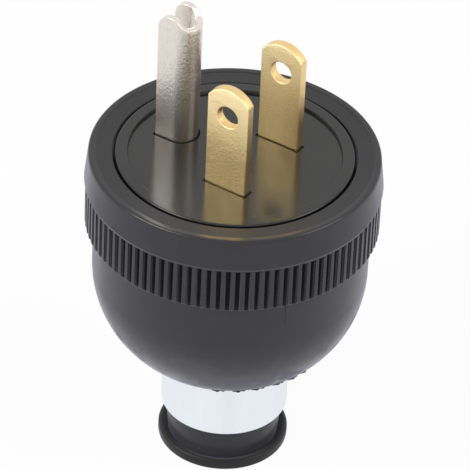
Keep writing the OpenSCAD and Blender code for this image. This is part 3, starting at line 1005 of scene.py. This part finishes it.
tumbled_brass = worked_metal(
    "tumbled_brass", dark=(0.95, 0.69, 0.3), light=(1.0, 0.78, 0.38),
    across=0.0005, along=0.0014, matt=0.44, gloss=0.3, grain_size=0.0003, bump=1.0, bump_depth=0.00007,
)


def off_middle(tree, middle):
    """A point's distance along X from the middle plane of the nearer blade, as a socket."""
    spot = add_node(tree, "ShaderNodeTexCoord").outputs["Object"]
    parts = add_node(tree, "ShaderNodeSeparateXYZ")
    aside = add_node(tree, "ShaderNodeMath", operation="ABSOLUTE")
    away = add_node(tree, "ShaderNodeMath", operation="SUBTRACT")
    away.inputs[1].default_value = middle
    gap = add_node(tree, "ShaderNodeMath", operation="ABSOLUTE")
    tree.links.new(spot, parts.inputs[0])
    tree.links.new(parts.outputs["X"], aside.inputs[0])
    tree.links.new(aside.outputs[0], away.inputs[0])
    tree.links.new(away.outputs[0], gap.inputs[0])
    return gap.outputs[0]


brass_tree = tumbled_brass.node_tree
from_middle = off_middle(brass_tree, blade_x)
flat_from = blade_t / 2 - 0.14 * mm
flat_to = blade_t / 2 - 0.04 * mm
on_flat = spread(brass_tree, from_middle, flat_from, flat_to)
painted_shade_on_edge = spread(brass_tree, from_middle, flat_to, flat_from)
_, blade_height = place_parts(brass_tree)
# Painted highlight: the blade's flat faces are painted paler and made matter towards the tips, where the
# upper blade catches more light.
brass_tip_highlight = spread(brass_tree, blade_height, face_z + 4.5 * mm, blade_top - 2 * mm)
lay_over(tumbled_brass, both(brass_tree, brass_tip_highlight, on_flat), tone=(0.99, 0.83, 0.5), rough=0.6)
# Painted shade: the narrow edges of the blades are painted darker brass.
lay_over(tumbled_brass, painted_shade_on_edge, tone=(0.86, 0.62, 0.28), rough=0.3)
line_mesh = joined("line_blade", [blade_plate, foot_plate])
neutral_mesh = line_mesh.copy()
neutral_mesh.transform(Matrix.Scale(-1, 4, (1, 0, 0)))
for blade_mesh, name, node in (
    (line_mesh, "brass_blade_line", "line_blade"),
    (neutral_mesh, "brass_blade_neutral", "neutral_blade"),
):
    blade = place(blade_mesh, name)
    finish(blade)
    blade.data.materials.append(tumbled_brass)
    dress(blade, node)

# Ground pin: one strip of brass folded to a U and nickel plated. Each leg ends in a round tip, from which
# a hollow runs down to the back of the bend. Behind the face the strip runs on as the terminal's foot.
pin_top = pin_high.z
hollow_drop = 1.55 * mm
tip_share = 0.37
tip_round = tip_share * pin_d
tip_y = pin_open - tip_round
hollow_y = pin_open - pin_d
hollow_round = dome_radius(hollow_drop, tip_y - hollow_y) - tip_round
hollow_z = pin_top - hollow_drop + hollow_round
pin_edge = 0.07 * mm
rim_turn = math.radians(50)
pin_rows = 40
leg_columns = 18
bend_columns = 36


def pin_height(y):
    """Height of the pin's upper edge at a place across it: round tip, then hollow."""
    touch = tip_y + (hollow_y - tip_y) * tip_round / (tip_round + hollow_round)
    if y >= touch:
        aside = min(abs(y - tip_y), tip_round)
        return pin_top - tip_round + math.sqrt(tip_round ** 2 - aside ** 2)
    return hollow_z - math.sqrt(hollow_round ** 2 - (y - hollow_y) ** 2)


def strip_skin(radius):
    """Points of one skin of the strip, from one leg's open edge round the bend to the other's."""
    straight = [pin_open + (pin_bend - pin_open) * i / leg_columns for i in range(leg_columns)]
    bend = arc_points((0, pin_bend), radius, 0.0, -math.pi, bend_columns)
    return [(radius, y) for y in straight] + bend + [(-radius, y) for y in reversed(straight)]


outer_skin = strip_skin(pin_w / 2)
inner_skin = strip_skin(pin_w / 2 - pin_t)
pin_columns = len(outer_skin)
pin_points = []
for skin in (outer_skin, inner_skin):
    for (x, y), (_, outer_y) in zip(skin, outer_skin):
        tall = pin_height(outer_y) - carrier_back
        pin_points += [(x, y, carrier_back + tall * k / pin_rows) for k in range(pin_rows + 1)]
rows = pin_rows + 1
skin_size = pin_columns * rows
pin_faces = []
for i in range(pin_columns - 1):
    for k in range(pin_rows):
        here, beside = i * rows + k, (i + 1) * rows + k
        pin_faces.append((here, beside, beside + 1, here + 1))
        pin_faces.append(tuple(skin_size + corner for corner in (here, here + 1, beside + 1, beside)))
    for k in (0, pin_rows):
        here, beside = i * rows + k, (i + 1) * rows + k
        pin_faces.append((here, beside, skin_size + beside, skin_size + here))
for i in (0, pin_columns - 1):
    for k in range(pin_rows):
        here = i * rows + k
        pin_faces.append((here, here + 1, skin_size + here + 1, skin_size + here))
pin_mesh = bpy.data.meshes.new("pin_strip")
pin_mesh.from_pydata(pin_points, [], pin_faces)
pin_work = bmesh.new()
pin_work.from_mesh(pin_mesh)
bmesh.ops.recalc_face_normals(pin_work, faces=pin_work.faces)
pin_rim = [edge for edge in pin_work.edges if edge.is_manifold and edge.calc_face_angle() > rim_turn]
bmesh.ops.bevel(
    pin_work, geom=pin_rim, offset=pin_edge, segments=3, profile=0.5, affect="EDGES", clamp_overlap=True
)
pin_work.to_mesh(pin_mesh)
pin_work.free()
pin_screw_y = pin_low.y + screw_inset
pin_foot = flat_plate(
    "pin_foot",
    [box_points(pin_low.x, pin_low.y, pin_high.x, pin_bend),
     ring_points((0, pin_screw_y), screw_r, screw_steps)],
    pin_t, foot_edge,
)
pin_foot.transform(Matrix.Translation((0, 0, carrier_back + pin_t / 2)))
pin = place(joined("ground_pin", [pin_mesh, pin_foot]), "plated_ground_pin")
finish(pin)
pin_nickel = worked_metal(
    "pin_nickel", dark=(0.72, 0.67, 0.61), light=(0.82, 0.77, 0.71),
    across=0.0005, along=0.001, matt=0.38, gloss=0.26, grain_size=0.00036, bump=0.9, bump_depth=0.00005,
)
pin_tree = pin_nickel.node_tree
_, height_on_pin = place_parts(pin_tree)
# The nickel is painted darker and browner towards the face disc.
pin_darker_low = spread(pin_tree, height_on_pin, face_z + 10 * mm, face_z + 2 * mm)
lay_over(pin_nickel, pin_darker_low, tone=(0.54, 0.48, 0.41), rough=0.34)
pin.data.materials.append(pin_nickel)
dress(pin, "ground_pin")

# Terminals: behind the face a phenolic plate holds the feet of the blades and the pin in their pockets,
# pulled up by two screws in brass inserts. Each foot has a square clamp plate and a slotted screw.
retainer_phenolic = grained_plastic(
    "retainer_phenolic", dark=(0.05, 0.03, 0.022), light=(0.08, 0.05, 0.036),
    fine=0.0004, broad=0.003, matt=0.6, gloss=0.45, bump=0.2, bump_depth=0.00004,
)
turned = {"across": 0.0004, "along": 0.002, "grain_size": 0.0003, "bump": 0.1, "bump_depth": 0.00002}
turned_brass = worked_metal(
    "turned_brass", dark=(0.58, 0.43, 0.18), light=(0.72, 0.55, 0.27), matt=0.38, gloss=0.28, **turned
)
plated_steel = worked_metal(
    "plated_steel", dark=(0.58, 0.58, 0.56), light=(0.72, 0.72, 0.7), matt=0.38, gloss=0.26, **turned
)
green_screw = worked_metal(
    "green_screw", dark=(0.08, 0.28, 0.11), light=(0.13, 0.38, 0.17), matt=0.42, gloss=0.3, **turned
)
inner_finish = {
    "blade_retainer": retainer_phenolic,
    "threaded_inserts": turned_brass,
    "retainer_screws": plated_steel,
    "line_clamp_plate": turned_brass,
    "neutral_clamp_plate": plated_steel,
    "ground_clamp_plate": plated_steel,
    "line_terminal_screw": turned_brass,
    "neutral_terminal_screw": plated_steel,
    "ground_terminal_screw": green_screw,
}
for node, inner_material in inner_finish.items():
    inner_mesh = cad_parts[node].data
    inner_mesh.materials.clear()
    inner_mesh.materials.append(inner_material)
